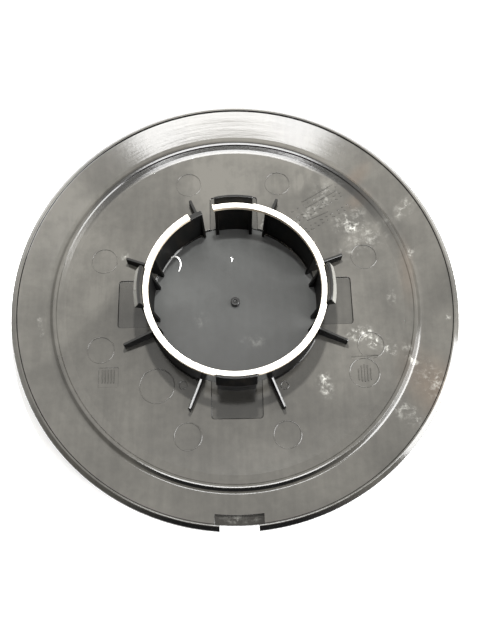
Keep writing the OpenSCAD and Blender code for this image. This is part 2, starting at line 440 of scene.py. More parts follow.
def markCuts(s, floorZ):
    # A field beside each clip, and a shallower recess for each round mark and for the square stamp
    field = recessLevels(floorZ - s["fieldDepth"], floorZ, *s["fieldEdges"])
    shallow = recessLevels(floorZ - s["markDepth"], floorZ, *s["markEdges"])
    half, rounding = s["fieldWidth"] / 2, s["fieldRound"]
    plan = boxLoop(s["fieldIn"], s["fieldOut"], -half, half, [0, rounding, rounding, 0])
    cuts = [loftCut(turned(plan, quarter), field) for quarter in quarters]
    cuts += [loftCut(circleLoop(*mark), shallow) for mark in roundMarks(s)]
    x, y = stampPlace(s)
    size = s["stampSquare"]
    square = boxLoop(-x - size, -x + size, y - size, y + size, [s["stampCorner"]] * 4)
    return [*cuts, loftCut(square, shallow)]


burrSizes = {
    "width": 0.36,  # raised rim round each round mark
    "height": 0.12,
    "barWidth": 0.4,
    "barHeight": 0.11,
    "barBevel": (0.08, 0.07),  # down and inwards at a bar's top
    "barEnd": 0.9,  # rounding of a bar's ends as a share of half its width
    "sunk": 0.3,
    "rowTurn": 31,  # rough patch: its rows' direction, then their places across and along it
    "rows": (18.3, 15.5, 14.0, 10.2, 8.8),
    "rowFrom": 36,
    "rowTo": 55,
    "rowStep": 2.3,
    "scuffShift": 0.3,  # spread of the short scuffs along a row, their lengths and their turns
    "scuffLengths": (0.6, 1.35),
    "scuffTurn": 30,
    "seed": 11,
    # middle (x, y), length and turn in degrees of each plain raised bar, mm
    "bars": (
        *((x, -25.3, 4.6, 90) for x in (-44.7, -43.75, -42.8, -41.85, -40.9)),
        (40.8, -26.2, 4.0, 90), (41.8, -25.9, 5.4, 90), (42.8, -25.8, 6.0, 90), (43.8, -25.9, 5.4, 90),
        (44.8, -26.2, 4.0, 90), (30.5, 41.3, 13.5, 31), (31.8, 38.9, 13.5, 31), (30.2, 32.2, 8.5, 24),
        (43.2, -19.9, 9.0, 3),
    ),
}


def makeRim(s, x, y, radius, floorZ):
    # Half ellipse of the burr's width and height, carried round the mark
    t = np.linspace(0, np.pi, 7)
    half = s["width"] / 2
    across = np.concatenate([[-half, half], half * np.cos(t)])
    up = np.concatenate([[-s["sunk"]] * 2, s["height"] * np.sin(t)])
    section = np.column_stack([radius + across, floorZ + up])
    points = carriedRound(section, np.linspace(0, 360, 72, endpoint=False)) + np.array([x, y, 0])
    return points, gridFaces(*points.shape[:2], closeRows=True)


def makeBar(s, x, y, length, turn, floorZ):
    # A round-ended strip with a small bevel round its top
    half = s["barWidth"] / 2
    outline = turned(boxLoop(-length / 2, length / 2, -half, half, [half * s["barEnd"]] * 4), turn)
    top = floorZ + s["barHeight"]
    down, inwards = s["barBevel"]
    levels = [(floorZ - s["sunk"], 0), (top - down, 0), (top, inwards)]
    return loftCut(outline + np.array([x, y]), levels)


def scuffPlaces(s):
    # Rows of short scuffs, each moved, turned and cut to length at random
    draw = np.random.default_rng(s["seed"])
    along = np.arange(s["rowFrom"], s["rowTo"], s["rowStep"])
    e, d = (part.ravel() for part in np.meshgrid(along, np.array(s["rows"])))
    e = e + draw.uniform(-s["scuffShift"], s["scuffShift"], e.shape)
    a = math.radians(s["rowTurn"])
    x, y = e * math.cos(a) - d * math.sin(a), e * math.sin(a) + d * math.cos(a)
    lengths = draw.uniform(*s["scuffLengths"], e.shape)
    turns = s["rowTurn"] + draw.uniform(-s["scuffTurn"], s["scuffTurn"], e.shape)
    return [tuple(row) for row in np.column_stack([x, y, lengths, turns])]


clipSizes = {
    "legInner": 28.0,
    "legThickness": 2.8,
    "width": 12.75,
    "headThickness": 1.0,  # what stands behind the ring at its top
    "headFlat": (0.2, 0.44),  # flat top of the head, outwards from the leg and from the head's inner side
    "headRound": 0.22,
    "hookReach": 1.9,
    "hookDrop": 1.2,  # from the ring's top down to the snap lip
    "hookSlope": 0.9,  # height of the slope below the snap lip
    "hookEdge": 0.5,
    "hookFoot": 0.3,  # roundings: below the hook, at most corners, and at the seat and the fin's root
    "corner": 0.2,
    "seatRound": 0.1,
    "round": 0.18,
    "foot": 1.6,  # everything that rises from the floor starts at this height, inside it
    "finReach": 2.3,
    "finThickness": 1.1,
    "finRoot": 1.4,  # how far the fin reaches into the leg
    "finDrop": 0.8,  # from the ring's seat down to the fin's top
    "finTop": 0.3,
    "finToe": 2.5,
    "finRound": 0.15,
}


def makeClip(s):
    # Leg, seat and head as one radius-height outline, carried sideways at constant radius
    legIn, legOut = s["legInner"], s["legInner"] + s["legThickness"]
    upper, hook = legOut - s["headThickness"], legOut + s["hookReach"]
    hookZ = ringTop - s["hookDrop"]
    flatOut, flatIn = s["headFlat"]
    corner = s["corner"]
    rows = [
        (legIn, s["foot"], 0), (legOut, s["foot"], 0), (legOut, hookZ - s["hookSlope"], s["hookFoot"]),
        (hook, hookZ, corner), (hook, hookZ + s["hookEdge"], corner),
        (legOut + flatOut, clipTop, s["headRound"]), (upper + flatIn, clipTop, s["headRound"]),
        (upper, ringTop, corner), (upper, ringSeat, s["seatRound"]), (legIn, ringSeat, corner),
    ]
    return curvedSlab(roundRows(rows, 4), s["width"], s["round"])


def makeFin(s, side):
    # A narrow web with a slanting edge, extruded sideways at one end of the clip
    legIn, toe = s["legInner"], s["legInner"] - s["finReach"]
    root, top = legIn + s["finRoot"], ringSeat - s["finDrop"]
    rows = [
        (toe, s["foot"], 0), (root, s["foot"], 0), (root, top, s["seatRound"]),
        (legIn - s["finTop"], top, s["finRound"]), (toe, s["finToe"], s["finRound"]),
    ]
    points, faces = flatSlab(roundRows(rows, 3), s["finThickness"], s["finRound"])
    points[..., 1] += side * (s["width"] - s["finThickness"]) / 2
    return points, faces


wallSizes = {
    "inner": 28.2,
    "thickness": 1.8,
    "turn": 22.5,  # degrees from a clip to the end of the wall
    "angleSteps": 25,
    "foot": 1.6,
    "topRound": 0.15,
    "outerFillet": (0.5, 0.1),  # width of the fillet at the floor, and how deep its end is sunk
    "innerFillet": (0.6, 0.05),
    "filletHeight": (0.5, 0.55),
    "filletRounds": (0.5, 0.2),  # at the wall and at the inner fillet's end
    "ribThickness": 0.9,
    "ribHeight": 5.5,  # above the floor at the wall
    "ribEndHeight": 3.8,
    "ribReach": 10.5,
    "ribFoot": 1.5,  # how far the rib's inner foot reaches, and where its slant starts and ends
    "ribFootDrop": 1.5,
    "ribFootTop": 2.6,
    "ribCorner": 0.4,
    "ribRound": 0.2,
}


def makeWall(s, disc):
    # The wall's section with a fillet at both feet, carried round the axis over its arc
    inner, outer = s["inner"], s["inner"] + s["thickness"]
    wideOut, sunkOut = s["outerFillet"]
    wideIn, sunkIn = s["innerFillet"]
    highOut, highIn = s["filletHeight"]
    bend, toe = s["filletRounds"]
    rows = [
        (outer + wideOut, disc["floorOuter"] - sunkOut, 0), (outer, disc["floorOuter"] + highOut, bend),
        (outer, ringSeat, s["topRound"]), (inner, ringSeat, s["topRound"]),
        (inner, disc["floorInner"] + highIn, bend), (inner - wideIn, disc["floorInner"] - sunkIn, toe),
        (inner - wideIn, s["foot"], 0), (outer + wideOut, s["foot"], 0),
    ]
    angles = np.linspace(s["turn"], 90 - s["turn"], s["angleSteps"])
    return cappedGrid(carriedRound(roundRows(rows, 4), angles))


def makeRib(s, disc):
    # A low web outside the wall, the wall's end, and a tall narrow foot inside it, extruded sideways
    inner, outer = s["inner"], s["inner"] + s["thickness"]
    end, toe, corner = outer + s["ribReach"], inner - s["ribFoot"], s["ribCorner"]
    rows = [
        (toe, s["foot"], 0), (end, s["foot"], 0), (end, disc["floorOuter"] + s["ribEndHeight"], corner),
        (outer, disc["floorOuter"] + s["ribHeight"], corner), (outer, ringSeat, corner),
        (inner, ringSeat, corner), (inner, ringSeat - s["ribFootDrop"], corner),
        (toe, s["ribFootTop"], corner),
    ]
    return flatSlab(roundRows(rows, 3), s["ribThickness"], s["ribRound"])


stubSizes = {
    # sprue stub in the middle: radius, height and rounding of each corner
    "corners": ((0, 1.6, 0), (1.62, 1.6, 0), (1.62, 2.35, 0.1), (1.5, 4.18, 0.25), (0.7, 4.18, 0.1),
                (0.5, 3.75, 0.1), (0, 3.7, 0)),
    "angleStep": 10,
}


def makeStub(s):
    # The stub's profile carried round the axis
    points = carriedRound(roundRows(s["corners"], 4, closed=False), np.arange(0, 360, s["angleStep"]))
    return points, gridFaces(*points.shape[:2], closeRows=True, closeColumns=False)


def makeCap():
    # The disc, then its cuts, then all that rises from it; the solids of one step never touch each other
    parts = MeshParts()
    parts.add(*makeDisc(discSizes))
    cap = makeMesh("cap_dressed", parts)
    floorZ, turn = discSizes["floorOuter"], wallSizes["turn"]
    shelf, opening = notchCuts(notchSizes, discSizes)
    bars = [*burrSizes["bars"], *scuffPlaces(burrSizes)]
    wall, rib = makeWall(wallSizes, discSizes), makeRib(wallSizes, discSizes)
    clip = makeClip(clipSizes)
    fins = [makeFin(clipSizes, side) for side in sides]
    rises = [
        [(makeRim(burrSizes, *mark, floorZ), 0) for mark in roundMarks(markSizes)],
        [(makeBar(burrSizes, *bar, floorZ), 0) for bar in bars],
        [(wall, quarter) for quarter in quarters],
        [(rib, quarter + side * turn) for quarter in quarters for side in sides],
        [(clip, quarter) for quarter in quarters],
        [(fin, quarter) for quarter in quarters for fin in fins],
        [(makeStub(stubSizes), 0)],
    ]
    solidStep(cap, [shelf, *markCuts(markSizes, floorZ)], "DIFFERENCE")
    solidStep(cap, [opening], "DIFFERENCE")
    for group in rises:
        solidStep(cap, [(turned(points, degrees), faces) for (points, faces), degrees in group], "UNION")
    smoothFaces(cap.data, 32)
    evenNormals(cap)
    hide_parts("cap_moulding")
    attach(cap, "root")
    return cap


ringSizes = {
    "inner": 28.0,
    "round": 0.28,
    "reliefOuter": 29.7,  # the outer side steps in to this radius at each clip
    "reliefHalf": 6.8,
    "reliefAt": 30.2,
    "reliefBlend": 0.16,  # degrees
    "slitFrom": 104,
    "slitTurn": 17,
    "slitRound": 0.25,
    "slitClear": 0.6,  # degrees from the slit to the first plain section
    "slitAt": 29.3,
    "steps": 300,
    "fineHalf": 0.5,  # degrees to each side of a step in the outer side that get fine steps
    "fineSteps": 9,
}


def ringAngles(s, start, end, halfStep):
    # Even steps from one end of the slit to the other, and fine ones where the outer side steps in
    fine = np.linspace(-s["fineHalf"], s["fineHalf"], s["fineSteps"])
    steps = [clip + side * halfStep + fine for clip in (180, 270, 360, 450) for side in sides]
    angles = np.unique(np.round(np.concatenate([np.linspace(start, end, s["steps"]), *steps]), 3))
    return angles[(angles > start + s["slitClear"]) & (angles < end - s["slitClear"])]


def makeRing(s):
    # A round-cornered rectangle carried from one end of the slit to the other: it shrinks at both ends, and
    # its outer side steps in at the clips by a smooth step (tanh) of the angle
    start, end = s["slitFrom"] + s["slitTurn"], s["slitFrom"] + 360
    halfStep = math.degrees(math.asin(s["reliefHalf"] / s["reliefAt"]))
    plain = ringAngles(s, start, end, halfStep)
    t = np.linspace(np.pi / 2, 0, 5)
    shrink = s["slitRound"] * (1 - np.cos(t))
    reach = np.degrees(s["slitRound"] * (1 - np.sin(t)) / s["slitAt"])
    angle = np.concatenate([start + reach, plain, (end - reach)[::-1]])
    inset = np.concatenate([shrink, np.zeros(len(plain)), shrink[::-1]])
    away = np.abs((angle + 45) % 90 - 45)
    relief = 0.5 - 0.5 * np.tanh((away - halfStep) / s["reliefBlend"])
    corners = [(s["inner"], ringSeat), (ringOuter, ringSeat), (ringOuter, ringTop), (s["inner"], ringTop)]
    section = roundPath(corners, [s["round"]] * 4, steps=4)
    outerHalf = section[:, 0] > (s["inner"] + ringOuter) / 2
    shift = outerHalf[None] * ((s["reliefOuter"] - ringOuter) * relief)[:, None]
    loops = np.stack([insetLoop(section, d) for d in inset])
    r, z = loops[..., 0] + shift, loops[..., 1]
    a = np.radians(angle)[:, None]
    parts = MeshParts()
    parts.add(*cappedGrid(np.stack([r * np.cos(a), r * np.sin(a), z], -1)))
    ring = makeMesh("ring_dressed", parts)
    evenNormals(ring)
    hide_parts("retaining_ring")
    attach(ring, "root")
    return ring


shavingSizes = {
    "thick": 0.24,
    "flatness": 0.5,
    "ends": 0.35,  # share of the thickness that is left at both ends
    # plan points of each white shaving on the inner floor and its heights above it, mm
    "curls": (
        ((-23.2, 16.9, 0.3), (-21.5, 17.4, 0.9), (-20.0, 16.9, 1.3), (-19.0, 15.4, 1.2), (-19.0, 13.5, 0.8),
         (-19.6, 11.9, 0.3)),
        ((-1.3, 17.1, 0.2), (-0.8, 16.2, 0.35), (-1.1, 15.3, 0.2)),
    ),
}


def smoothCurve(corners, steps=6):
    # Catmull-Rom curve through the corners: each span is a cubic of its four nearest ones
    padded = np.concatenate([[2 * corners[0] - corners[1]], corners, [2 * corners[-1] - corners[-2]]])
    a, b, c, d = (padded[i:i + len(corners) - 1, None] for i in range(4))
    t = np.linspace(0, 1, steps, endpoint=False)[None, :, None]
    spans = 2 * b + (c - a) * t + (2 * a - 5 * b + 4 * c - d) * t ** 2 + (3 * b - a - 3 * c + d) * t ** 3
    return np.concatenate([0.5 * spans.reshape(-1, 3), corners[-1:]])


def makeShaving(s):
    # Each curl is a flat elliptic tube along a smooth curve, and thins out at both ends
    parts = MeshParts()
    for curl in s["curls"]:
        path = smoothCurve(np.array(curl) + np.array([0, 0, discSizes["floorInner"]]))
        tangent = unit(np.gradient(path, axis=0))
        side = unit(np.cross(tangent, np.array([0, 0, 1.0])))
        up = np.cross(side, tangent)
        bulge = np.sin(np.pi * np.linspace(0, 1, len(path))) ** 0.5
        thick = s["thick"] * (s["ends"] + (1 - s["ends"]) * bulge)[:, None, None]
        turn = np.linspace(0, 2 * np.pi, 10, endpoint=False)[None, :, None]
        ellipse = side[:, None] * np.cos(turn) + s["flatness"] * up[:, None] * np.sin(turn)
        parts.add(*cappedGrid(path[:, None] + thick * ellipse))
    shaving = makeMesh("shaving", parts, 60)
    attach(shaving, "root")
    return shaving


cap = makeCap()
print("cap moulding made: %d faces" % len(cap.data.polygons))
ring = makeRing(ringSizes)
print("retaining ring made: %d faces" % len(ring.data.polygons))
shaving = makeShaving(shavingSizes)
print("shavings made: %d faces" % len(shaving.data.polygons))


class NodeTree:
    # Short ways to add the nodes that the finishes and the room need
    def __init__(self, tree):
        self.nodes = tree.nodes
        self.links = tree.links

    def feed(self, socket, value):
        # A number or a colour is set on the socket itself, anything else is linked to it
        if isinstance(value, (int, float, tuple)):
            socket.default_value = value
        else:
            self.links.new(value, socket)

    def add(self, kind, output, feeds, **options):
        # A new node with its options and what goes into its sockets; gives back one of its outputs
        node = self.nodes.new("ShaderNode" + kind)
        for name, value in options.items():
            setattr(node, name, value)
        for name, value in feeds.items():
            self.feed(node.inputs[name], value)
        return node.outputs[output]

    def split(self, vector):
        return self.add("SeparateXYZ", 0, {0: vector}).node.outputs[:]

    def joined(self, x, y):
        return self.add("CombineXYZ", 0, {"X": x, "Y": y})

    def vector(self, operation, first, second):
        return self.add("VectorMath", "Vector", {0: first, 1: second}, operation=operation)

    def length(self, vector):
        return self.add("VectorMath", "Value", {0: vector}, operation="LENGTH")

    def spun(self, vector, degrees):
        feeds = {"Vector": vector, "Angle": math.radians(degrees)}
        return self.add("VectorRotate", 0, feeds, rotation_type="Z_AXIS")

    def shifted(self, place, offset, stretch=(1, 1, 1), turn=0.0):
        rotation = (0, 0, math.radians(turn))
        feeds = {"Vector": place, "Location": offset, "Rotation": rotation, "Scale": stretch}
        return self.add("Mapping", 0, feeds)

    def reckon(self, operation, *terms):
        return self.add("Math", 0, dict(enumerate(terms)), operation=operation)

    def product(self, first, *others):
        for term in others:
            first = self.reckon("MULTIPLY", first, term)
        return first

    def ramp(self, value, low, high, outLow=0.0, outHigh=1.0):
        # Smooth step from one level to another
        feeds = {"Value": value, "From Min": low, "From Max": high, "To Min": outLow, "To Max": outHigh}
        return self.add("MapRange", "Result", feeds, interpolation_type="SMOOTHSTEP")

    def above(self, value, edge):
        # 0 below a soft edge that is given in mm, 1 above it
        return self.ramp(value, edge[0] * mm, edge[1] * mm)

    def below(self, value, edge):
        return self.ramp(value, edge[0] * mm, edge[1] * mm, 1.0, 0.0)

    def noise(self, place, scale, detail, rough, warp=0.0):
        feeds = {"Vector": place, "Scale": scale, "Detail": detail, "Roughness": rough, "Distortion": warp}
        return self.add("TexNoise", 0, feeds)

    def mix(self, share, first, second):
        return self.add("Mix", 2, {0: share, 6: first, 7: second}, data_type="RGBA")


class Finish(NodeTree):
    # One material and its shader
    def __init__(self, name):
        self.material = bpy.data.materials.new(name)
        self.material.use_nodes = True
        super().__init__(self.material.node_tree)
        self.shader = self.nodes["Principled BSDF"]
        self.place = self.add("TexCoord", "Object", {})
        self.facing = self.add("TexCoord", "Normal", {})

    def give(self, name, value):
        self.feed(self.shader.inputs[name], value)

    def bump(self, height, strength, distance):
        feeds = {"Strength": strength, "Distance": distance * mm, "Height": height}
        self.give("Normal", self.add("Bump", 0, feeds))


capLook = {
    "bare": (0.004, 0.004, 0.004, 1),
    "filmAndPaintedLight": (0.062, 0.059, 0.052, 1),  # grey bloom on the outer floor and the flange; its share also paints light and shade
    "filmInside": (0.033, 0.034, 0.033, 1),  # cooler on the inner floor
    # pale colour of the dust, also used for the painted sheen and the painted pool of light
    "dustAndSheen": (0.46, 0.455, 0.42, 1),
    "brownTint": (0.078, 0.062, 0.048, 1),  # brownish patch on the flange
    "roughness": 0.12,
    "insideRoughness": 0.25,  # added on the inner floor
    "filmRoughness": 0.02,  # added where the film or the dust lies
    "dustRoughness": 0.4,
    "ior": 1.5,
    "gloss": 0.9,
    "bump": (0.25, 0.04),  # strength, and distance in mm
    "lineBump": 3.0,  # share of the turning lines in the bump
    "lineDrift": 0.004,  # how fast they change with the angle
    # noise of each pattern: scale, detail, roughness and warp
    "broad": (16, 3, 0.5, 0.8),
    "clouds": (42, 5, 0.6, 0.4),
    "mottle": (330, 4, 0.6, 0.2),
    "streaks": (420, 4, 0.55, 0),
    "specks": (430, 9, 0.74, 0.35),
    "patches": (170, 4, 0.6, 0.3),
    "grain": (900, 3, 0.6),
    "lines": (500, 3, 0.6),
    "broadShift": (0.3, 0.1, 0),
    "streakStretch": (1, 0.1, 1),
    "streakTurn": 12,
    # levels of each pattern: from, to, and what it gives at both
    "broadLevels": (0.3, 0.72, 0.55, 1.05),
    "cloudLevels": (0.25, 0.75, 0.8, 1.1),
    "mottleLevels": (0.25, 0.75, 0.9, 1.1),
    "streakLevels": (0.3, 0.7, 0.93, 1.07),
    "wipeLevels": (0.35, 0.6, 0.6, 1.2),
    "speckLevels": (0.46, 0.66),
    "patchLevels": (0.36, 0.58, 0.2, 1.0),
    "headLevels": (0.3, 0.6, 0.27, 0.45),  # painted pale sheen on the clip heads at both sides
    # share of the film at -Y and +Y, which paints shade towards the viewer and light on the far side, and in
    # the recesses and on the far inner side of the ridge, which paints their shade
    "nearPaintedShade": 0.75,
    "farPaintedLight": 1.18,
    "recessPaintedShade": 0.55,
    "farRidgePaintedShade": 0.15,
    # place (x, y) in mm, size along and across in mm, turn in degrees and strength of each mark:
    # brownish patches, soft pale wipes, places of painted shade, and dusty smears, one of them a painted pool
    # of light
    "brownTintAt": (
        (66, -34, 11, 22, 30, 0.9), (45, 38, 7, 4, 35, 0.6), (45, 47, 8, 4, 40, 0.6),
        (60, 10, 3.5, 16, 0, 0.5),
    ),
    "wipesAt": (
        (45.5, 24.5, 11, 4.5, 35, 0.75), (62, 34, 8, 3, 40, 0.8), (25, 46, 7, 3.5, 60, 0.6),
        (19, 43, 4, 4, 0, 0.4), (-52, 36, 12, 5, 50, 0.45), (-40, -42, 14, 8, 130, 0.2),
        (-47, 3, 11, 6, 80, 0.35), (35, 46, 5, 4, 0, 0.6), (60, -50, 10, 5, 130, 0.15),
    ),
    # soft darker places on the floor and the flange: painted shade
    "paintedShadeAt": ((51, 0, 10, 17, 0, 0.3), (-66, 0, 9, 32, 0, 0.17), (57, 24, 3.5, 8, 30, 0.2)),
    "smearsAndLightAt": (
        (43, 28, 5, 4, 20, 0.8), (41, 31, 8, 5, 40, 0.45), (46, 23, 14, 6, 30, 0.25),
        (61, 33, 6, 4, 35, 0.3), (62, 16, 2, 5, 10, 0.35), (42, -12, 6, 3, 12, 1.0),
        (47, -15, 5, 3, -30, 0.8), (52, -17, 2.5, 3.5, 20, 1.0), (29, -29, 3, 6, 15, 0.6),
        (59, -22, 2.5, 7, 20, 0.75), (64, -30, 5, 12, 25, 0.35), (55, -40, 4, 8, 35, 0.4),
        (-38.5, 17.5, 1.5, 2.5, 0, 0.6), (28, 34, 16, 3, 38, 0.2), (34, 42, 8, 6, 40, 0.15),
        # the smear at (10.6, 29.6) is a painted pool of light on the floor between the far clip and the wall
        (54, 1, 2, 4, 0, 0.3), (71.3, -7.9, 1.2, 1.2, 0, 1.0), (10.6, 29.6, 1.6, 3, 0, 0.5),
        (0, -71.6, 7.5, 1.6, 0, 0.4), (-66, -8, 1.2, 5, 10, 0.3), (-12, -6, 4, 3, 30, 0.12),
        (6, -14, 6, 3, 0, 0.1),
    ),
    "markEdge": (0.1, 1.1),  # soft edge of each mark, as a share of its size
}

# Soft edges of the cap's zones: heights, radii and distances from an axis in mm, and parts of a unit normal
capZones = {
    "outside": (28.4, 29.2),
    "facingUp": (0.6, 0.75),
    "facingNear": (-0.55, -0.45),
    # faces leaning towards the viewer lose the film and dust, which paints their shade
    "raised": (3.25, 3.5),
    "raisedReach": (42.3, 42.6),
    # recesses and the notch's shelf, where the film is thinned as painted shade
    "recess": (2.7, 2.8),
    "shelfHalf": (7.7, 7.9),
    "shelfAlong": (-69.6, -69.4),
    "shelfHeight": (5.5, 5.7),
    # far inner side of the ridge, where the film is thinned as painted shade
    "farSide": (20, 45),
    "ridgeFoot": (58.6, 59.4),
    "ridgeCrest": (62.3, 62.7),
    # span along Y of the painted fall of light from the near side to the far side
    "paintedLightAlong": (-60, 60),
    "fieldIn": (31, 31.3),
    "fieldOut": (41.5, 42),
    "fieldHeight": (3.02, 3.06),
    "fieldSlope": (0.93, 0.985),
    "flange": (63, 64.5),
    "headHeight": (17.5, 18.2),
    "headReach": (31.1, 31.4),
    "headSide": (20, 22),
}


def softMarks(finish, level, marks, edge):
    # Soft ellipses, the strongest of them at each place: a step down with the scaled distance from the middle
    total = None
    for x, y, along, across, turn, strength in marks:
        moved = finish.vector("SUBTRACT", level, (x * mm, y * mm, 0))
        shares = (1 / (along * mm), 1 / (across * mm), 0)
        scaled = finish.vector("MULTIPLY", finish.spun(moved, -turn), shares)
        inside = finish.ramp(finish.length(scaled), *edge, strength, 0.0)
        total = inside if total is None else finish.reckon("MAXIMUM", total, inside)
    return total


def zoneShares(finish, look, zones, spot):
    # Shares of the film: none on the clips, walls and ribs and on the slopes round the shallow fields; less
    # in the recesses and on the far inner side of the ridge as painted shade, and less towards the near side
    # as a painted fall of light
    raised = finish.product(finish.above(spot["height"], zones["raised"]),
                            finish.below(spot["radius"], zones["raisedReach"]))
    low = finish.product(finish.below(spot["height"], zones["recess"]), spot["outside"])
    shelf = finish.product(finish.below(spot["side"], zones["shelfHalf"]),
                           finish.below(spot["along"], zones["shelfAlong"]),
                           finish.below(spot["height"], zones["shelfHeight"]))
    far = finish.product(finish.above(spot["along"], zones["farSide"]),
                         finish.above(spot["radius"], zones["ridgeFoot"]),
                         finish.below(spot["radius"], zones["ridgeCrest"]))
    slope = finish.product(finish.ramp(spot["facingZ"], *zones["fieldSlope"], 1.0, 0.0),
                           finish.above(spot["radius"], zones["fieldIn"]),
                           finish.below(spot["radius"], zones["fieldOut"]),
                           finish.below(spot["height"], zones["fieldHeight"]))
    recess = finish.reckon("MAXIMUM", low, shelf)
    near, away = zones["paintedLightAlong"]
    return (
        finish.reckon("SUBTRACT", 1.0, raised),
        finish.reckon("MULTIPLY_ADD", recess, look["recessPaintedShade"] - 1, 1.0),
        finish.reckon("MULTIPLY_ADD", far, look["farRidgePaintedShade"] - 1, 1.0),
        finish.ramp(spot["along"], near * mm, away * mm, look["nearPaintedShade"], look["farPaintedLight"]),
        finish.reckon("SUBTRACT", 1.0, slope),
    )


def capFilmAndPaintedLight(finish, look, zones, spot, upwardAndUnshaded, clouds):
    # How much of the grey bloom lies at each place, with painted light and shade worked into the share
    level = spot["level"]
    broad = finish.noise(finish.shifted(level, look["broadShift"]), *look["broad"])
    mottle = finish.noise(level, *look["mottle"])
    stretched = finish.shifted(level, (0, 0, 0), look["streakStretch"], look["streakTurn"])
    streaks = finish.noise(stretched, *look["streaks"])
    wipes = finish.product(softMarks(finish, level, look["wipesAt"], look["markEdge"]),
                           finish.ramp(streaks, *look["wipeLevels"]))
    paintedShade = softMarks(finish, level, look["paintedShadeAt"], look["markEdge"])
    return finish.product(
        upwardAndUnshaded,
        finish.ramp(broad, *look["broadLevels"]),
        finish.ramp(clouds, *look["cloudLevels"]),
        finish.ramp(mottle, *look["mottleLevels"]),
        finish.ramp(streaks, *look["streakLevels"]),
        finish.reckon("ADD", wipes, 1.0),
        finish.reckon("SUBTRACT", 1.0, paintedShade),
        *zoneShares(finish, look, zones, spot),
    )


def capDustAndSheen(finish, look, zones, spot, upwardAndUnshaded, clouds):
    # Smears torn into scuffs and specks, one a painted pool of light, and a painted pale sheen on the ramps
    # of the clip heads at both sides
    level = spot["level"]
    smearsAndLight = finish.product(
        softMarks(finish, level, look["smearsAndLightAt"], look["markEdge"]),
        finish.ramp(finish.noise(level, *look["specks"]), *look["speckLevels"]),
        finish.ramp(finish.noise(level, *look["patches"]), *look["patchLevels"]),
        upwardAndUnshaded,
    )
    heads = finish.product(
        finish.above(spot["height"], zones["headHeight"]),
        finish.above(spot["radius"], zones["headReach"]),
        finish.above(spot["side"], zones["headSide"]),
        finish.ramp(clouds, *look["headLevels"]),
    )
    return finish.reckon("MAXIMUM", smearsAndLight, heads)


def turningLines(finish, look, zones, spot):
    # Faint broken circles on the flange: noise on the radius, which changes slowly with the angle
    angle = finish.reckon("ABSOLUTE", finish.reckon("ARCTAN2", spot["along"], spot["across"]))
    place = finish.joined(spot["radius"], finish.reckon("MULTIPLY", angle, look["lineDrift"]))
    return finish.product(finish.noise(place, *look["lines"]), finish.above(spot["radius"], zones["flange"]))


def capPlastic(look, zones):
    # Nearly black glossy plastic under a grey film that also carries painted light and shade, with brownish
    # and dusty marks, some of them painted light
    finish = Finish("capPlastic")
    across, along, height = finish.split(finish.place)
    level = finish.joined(across, along)
    facingY, facingZ = finish.split(finish.facing)[1:]
    radius = finish.length(level)
    spot = {
        "across": across, "along": along, "height": height, "level": level, "radius": radius,
        "side": finish.reckon("ABSOLUTE", across), "facingZ": facingZ,
        "outside": finish.above(radius, zones["outside"]),
    }
    # The film and dust lie on faces that look up; faces leaning towards the viewer are left bare as painted
    # shade
    upwardAndUnshaded = finish.product(finish.ramp(facingZ, *zones["facingUp"]),
                            finish.ramp(facingY, *zones["facingNear"]))
    clouds = finish.noise(level, *look["clouds"])
    filmAndPaintedLight = capFilmAndPaintedLight(finish, look, zones, spot, upwardAndUnshaded, clouds)
    dustAndSheen = capDustAndSheen(finish, look, zones, spot, upwardAndUnshaded, clouds)
    brownTint = softMarks(finish, level, look["brownTintAt"], look["markEdge"])
    filmColour = finish.mix(spot["outside"], look["filmInside"], look["filmAndPaintedLight"])
    colour = finish.mix(filmAndPaintedLight, look["bare"], finish.mix(brownTint, filmColour, look["brownTint"]))
    finish.give("Base Color", finish.mix(dustAndSheen, colour, look["dustAndSheen"]))
    inside = finish.reckon("MULTIPLY_ADD", spot["outside"], -look["insideRoughness"], look["insideRoughness"])
    rough = finish.reckon("MULTIPLY_ADD", filmAndPaintedLight, look["filmRoughness"], look["roughness"])
    rough = finish.reckon("MULTIPLY_ADD", inside, upwardAndUnshaded, rough)
    finish.give("Roughness", finish.reckon("MULTIPLY_ADD", dustAndSheen, look["dustRoughness"], rough))
    lines = turningLines(finish, look, zones, spot)
    grain = finish.noise(level, *look["grain"])
    finish.bump(finish.reckon("MULTIPLY_ADD", lines, look["lineBump"], grain), *look["bump"])
    finish.give("IOR", look["ior"])
    finish.give("Specular IOR Level", look["gloss"])
    return finish.material


darkLook = {
    "bare": (0.004, 0.004, 0.004, 1),
    "worn": (0.024, 0.019, 0.014, 1),
    "stretch": (1, 1, 0.25),
    "patches": (300, 4, 0.6),
    "levels": (0.45, 0.8, 0.0, 0.35),
    "grain": (900, 3, 0.6),
    "roughness": 0.34,
    "patchRoughness": 0.1,
    "gloss": 0.02,
    "bump": (0.25, 0.04),
    # where it lies, mm: faces between two radii, above a height, whose normal is flatter than the slope
    "from": 25.0,
    "to": 42.0,
    "height": 2.7,
    "slope": 0.5,
    # outer side of the clip heads that keeps its shine: below the ring's top, radius and distance to the side
    "headBelow": 1.0,
    "headFrom": 31.0,
    "headSide": 20.0,
}


def patchyPlastic(finish, look, patches, share, first, second):
    # Two colours by their share, and a roughness that follows the patches
    finish.give("Base Color", finish.mix(share, look[first], look[second]))
    rough = finish.reckon("MULTIPLY_ADD", patches, look["patchRoughness"], look["roughness"])
    finish.give("Roughness", rough)
    finish.bump(finish.noise(finish.place, *look["grain"]), *look["bump"])


